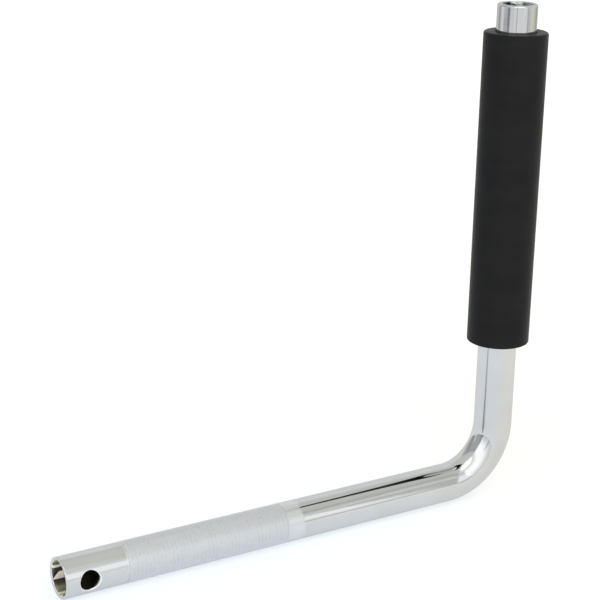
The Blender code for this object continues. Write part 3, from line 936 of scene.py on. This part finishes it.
# ---------------------------------------------------------------- camera, floor and light

# The view: its direction and roll, and how far the corner where the two legs' centre lines meet stands from
# the camera, from the middle of the view to the right, and up.
VIEW_AZIMUTH = math.radians(-31.68)
VIEW_ELEVATION = math.radians(18.18)
VIEW_ROLL = math.radians(1.19)
VIEW_DISTANCE = 1.0937
CORNER_RIGHT = 0.1266
CORNER_UP = -0.1143
LENS = 98.2
SENSOR_WIDTH = 36.0
FAR_CLIP = 50.0

# The floor: its radius, its gap under the object, and its glow on the lever's side and on the upright's side,
# with the X places between which it changes.
FLOOR_R = 14.0
FLOOR_GAP = 0.05 * MM
FLOOR_COLOR = (0.325, 0.32, 0.315)
FLOOR_GLOW = ((0.605, 0.65, 0.70), (0.655, 0.655, 0.61))
FLOOR_GLOW_X = (0.05, 0.19)

# The front light: its brightness, how wide it looks, and its direction.
FRONT_ENERGY = 1.1
FRONT_WIDTH = math.radians(70)
FRONT_AZIMUTH = math.radians(-112)
FRONT_ELEVATION = math.radians(38)

# The room's brightness by the sine of elevation.
ROOM_STRENGTH = 1.08
ROOM_TONES = (
    (0.00, (0.84, 0.84, 0.84)),
    (0.06, (0.87, 0.875, 0.88)),
    (0.20, (0.90, 0.905, 0.915)),
    (0.66, (0.90, 0.91, 0.92)),
    (0.75, (0.76, 0.77, 0.73)),
    (0.82, (0.72, 0.73, 0.68)),
    (0.90, (0.76, 0.775, 0.73)),
    (1.00, (0.78, 0.79, 0.75)),
)

# Soft boxes of light and shade in the room, in degrees: azimuth, half-width and edge, then the low elevation
# and its edge and the high elevation and its edge, and the color that the box adds.
ROOM_BOXES = (
    # The key light, its right-hand skirt, and the glow that it throws on the ceiling.
    ((-121.5, 50.5, 3.5), (14, 14, 50, 4), (0.62, 0.61, 0.60)),
    ((-65.0, 8.0, 1.5), (8, 6, 33, 4), (0.33, 0.33, 0.33)),
    ((-111, 56, 12), (49, 4, 72, 10), (0.33, 0.33, 0.32)),
    ((-108, 58, 10), (61, 4, 84, 5), (0.75, 0.72, 0.73)),
    # Shade to the right of the key light, above that, and beside the camera.
    ((-40, 17.0, 1.5), (0, 4, 31, 3), (-0.23, -0.22, -0.28)),
    ((-42, 13, 4), (37, 3, 49, 4), (-0.22, -0.22, -0.25)),
    ((-128, 3.6, 2.0), (-4, 2, 22, 2), (-0.36, -0.36, -0.36)),
    # The dim back of the room on the left, with a darker and a lighter strip, and a dim strip at its side.
    ((142, 42, 9), (-6, 4, 48, 5), (-0.38, -0.38, -0.38)),
    ((124, 5, 4), (-6, 4, 46, 8), (-0.16, -0.16, -0.17)),
    ((143, 5, 3), (-8, 4, 20, 6), (0.26, 0.26, 0.25)),
    ((-177, 4, 3), (-8, 4, 24, 8), (-0.26, -0.26, -0.26)),
)

# The low grey screen around the table, which only reflections show. The shade on its lower part fades out
# upwards between two heights, and its strips fade out downwards between two others.
SCREEN_R = 1.5
SCREEN_WALL = 0.01
SCREEN_FOOT = 0.001
SCREEN_TOP = 0.13
SCREEN_COLOR = (0.985, 0.99, 0.995)
SCREEN_SHADE = (-0.04, -0.04, -0.05)
SCREEN_SHADE_Z = (0.030, 0.064)
SCREEN_STRIPS_Z = (0.072, 0.052)

# The screen's upright strips, in degrees: azimuth, half-width and edge, and the color that each one adds.
SCREEN_STRIPS = (
    ((-176, 6.5, 3.5), (-0.76, -0.75, -0.75)),
    ((165, 14, 7), (-0.46, -0.46, -0.46)),
    ((117, 13, 9), (-0.48, -0.48, -0.48)),
    ((-160, 14, 6), (-0.13, -0.12, -0.11)),
    ((-129, 2.6, 1.3), (-0.40, -0.40, -0.38)),
    ((-65, 5.0, 2.5), (-0.42, -0.42, -0.43)),
    ((-54, 5.5, 3.0), (-0.26, -0.26, -0.29)),
    ((-30, 18, 5), (-0.10, -0.11, -0.23)),
    ((-3, 12, 6), (-0.22, -0.21, -0.24)),
    ((8, 11, 6), (-0.24, -0.23, -0.22)),
)


def direction(azimuth, elevation):
    """The unit vector at an azimuth from +X and an elevation."""
    level = math.cos(elevation)
    return Vector((level * math.cos(azimuth), level * math.sin(azimuth), math.sin(elevation)))


def build_camera():
    """The camera, placed by how far the tool's corner stands from the middle of its view."""
    back = direction(VIEW_AZIMUTH - math.pi / 2, VIEW_ELEVATION)
    level_right = direction(VIEW_AZIMUTH, 0.0)
    level_up = back.cross(level_right)
    right = level_right * math.cos(VIEW_ROLL) + level_up * math.sin(VIEW_ROLL)
    up = level_up * math.cos(VIEW_ROLL) - level_right * math.sin(VIEW_ROLL)
    corner = Vector((UPRIGHT_X, 0, AXIS_Z))
    camera = bpy.data.objects.new("camera", bpy.data.cameras.new("camera"))
    bpy.context.scene.collection.objects.link(camera)
    pose = Matrix((right, up, back)).transposed().to_4x4()
    pose.translation = corner - right * CORNER_RIGHT - up * CORNER_UP + back * VIEW_DISTANCE
    camera.matrix_world = pose
    camera.data.lens = LENS
    camera.data.sensor_width = SENSOR_WIDTH
    camera.data.clip_end = FAR_CLIP
    bpy.context.scene.camera = camera


def build_floor():
    """A wide pale floor, lit a little from inside like a light table, that runs out past every view."""
    shape = bmesh.new()
    bmesh.ops.create_circle(shape, cap_ends=True, segments=96, radius=FLOOR_R)
    mesh = bpy.data.meshes.new("floor")
    shape.to_mesh(mesh)
    shape.free()
    look = Shader("pale_floor", FLOOR_COLOR, 0.85, Emission_Strength=1.0)
    look.set("Roughness", look.ramp(look.noise(6, 3.0, 0.5), 0.3, 0.7, 0.8, 0.9))
    look.set("Emission Color", look.mottle(look.axis("X"), *FLOOR_GLOW_X, *FLOOR_GLOW))
    mesh.materials.append(look.material)
    floor = mesh_object("floor", mesh)
    floor.location = (0, 0, CAD_BOX[0].z - FLOOR_GAP)


def build_front_light():
    """A very wide soft light from the front. It has no image in the plating."""
    light = bpy.data.lights.new("front", "SUN")
    light.energy = FRONT_ENERGY
    light.angle = FRONT_WIDTH
    front = bpy.data.objects.new("front", light)
    bpy.context.scene.collection.objects.link(front)
    front.rotation_mode = "QUATERNION"
    front.rotation_quaternion = direction(FRONT_AZIMUTH, FRONT_ELEVATION).to_track_quat("Z", "Y")
    front.visible_glossy = False


class Glow(Nodes):
    """Light painted by direction in a node tree: soft-edged boxes of color that add up."""

    def __init__(self, tree, place):
        super().__init__(tree)
        split = self.nodes.new("ShaderNodeSeparateXYZ")
        self.feed(place, split.inputs["Vector"])
        self.height = split.outputs["Z"]
        self.turn = self.math("ARCTAN2", split.outputs["Y"], split.outputs["X"])

    def fade(self, value, start, end):
        """A smooth step from 1 at the start to 0 at the end."""
        return self.ramp(value, start, end, 1.0, 0.0, easing="SMOOTHSTEP")

    def wedge(self, azimuth, half_width, edge):
        """1 inside a range of azimuth and 0 outside, with soft sides, all in degrees."""
        off = self.math("SUBTRACT", self.turn, math.radians(azimuth))
        away = self.math("ABSOLUTE", self.math("WRAP", off, math.pi, -math.pi))
        return self.fade(away, math.radians(half_width - edge), math.radians(half_width + edge))

    def band(self, low, low_edge, high, high_edge):
        """1 between two elevations of a direction, with soft edges, all in degrees."""
        rise = self.math("ARCSINE", self.height)
        under = self.fade(rise, math.radians(low - low_edge), math.radians(low + low_edge))
        below_top = self.fade(rise, math.radians(high - high_edge), math.radians(high + high_edge))
        return self.math("MULTIPLY", self.math("SUBTRACT", 1.0, under), below_top)

    def add(self, total, factor, color):
        """A color, scaled by a factor, on top of the total."""
        scaled = self.nodes.new("ShaderNodeVectorMath")
        scaled.operation = "SCALE"
        self.feed(color, scaled.inputs[0])
        self.feed(factor, scaled.inputs["Scale"])
        both = self.nodes.new("ShaderNodeVectorMath")
        both.operation = "ADD"
        self.feed(total, both.inputs[0])
        self.feed(scaled.outputs["Vector"], both.inputs[1])
        return both.outputs["Vector"]


def build_room():
    """The world: a graded pale room, the big soft key light, and darker parts of the room."""
    world = bpy.data.worlds.new("room")
    world.use_nodes = True
    bpy.context.scene.world = world
    nodes = world.node_tree.nodes
    glow = Glow(world.node_tree, nodes.new("ShaderNodeTexCoord").outputs["Generated"])
    total = glow.tones(glow.height, ROOM_TONES)
    for sides, elevations, color in ROOM_BOXES:
        box = glow.math("MULTIPLY", glow.wedge(*sides), glow.band(*elevations))
        total = glow.add(total, box, color)
    background = nodes["Background"]
    glow.feed(total, background.inputs["Color"])
    background.inputs["Strength"].default_value = ROOM_STRENGTH


def build_screen():
    """The low screen, with the dark and warm upright strips that the drive socket mirrors."""
    outside = SCREEN_R + SCREEN_WALL
    profile = [(SCREEN_R, SCREEN_FOOT), (outside, SCREEN_FOOT), (outside, SCREEN_TOP), (SCREEN_R, SCREEN_TOP)]
    mesh = ring_mesh("screen", lathe_rings(profile), loop=True)
    look = Shader("screen_strips", (0, 0, 0), 0.9, Emission_Strength=1)
    glow = Glow(look.material.node_tree, look.place)
    total = glow.add(SCREEN_COLOR, glow.fade(glow.height, *SCREEN_SHADE_Z), SCREEN_SHADE)
    upper = glow.fade(glow.height, *SCREEN_STRIPS_Z)
    for sides, color in SCREEN_STRIPS:
        total = glow.add(total, glow.math("MULTIPLY", glow.wedge(*sides), upper), color)
    look.set("Emission Color", total)
    mesh.materials.append(look.material)
    screen = mesh_object("screen", mesh)
    screen.location = (UPRIGHT_X, 0, 0)
    screen.visible_camera = False
    screen.visible_shadow = False
    screen.visible_diffuse = False


def build_stage():
    """Camera, floor, room light and the screen that draws the socket's upright lines."""
    build_camera()
    build_floor()
    build_front_light()
    build_room()
    build_screen()
    bpy.context.scene.view_settings.view_transform = "Standard"


build_stage()
build_tube(polished_chrome(), broached_steel("lever_bore", LEVER_MOUTH), burnished_edge())
build_knurl(knurled_chrome())
build_drive_socket(turned_chrome(), broached_steel("drive_bore", DRIVE_MOUTH))
build_sleeve(black_sleeve())
dress_inner_parts()
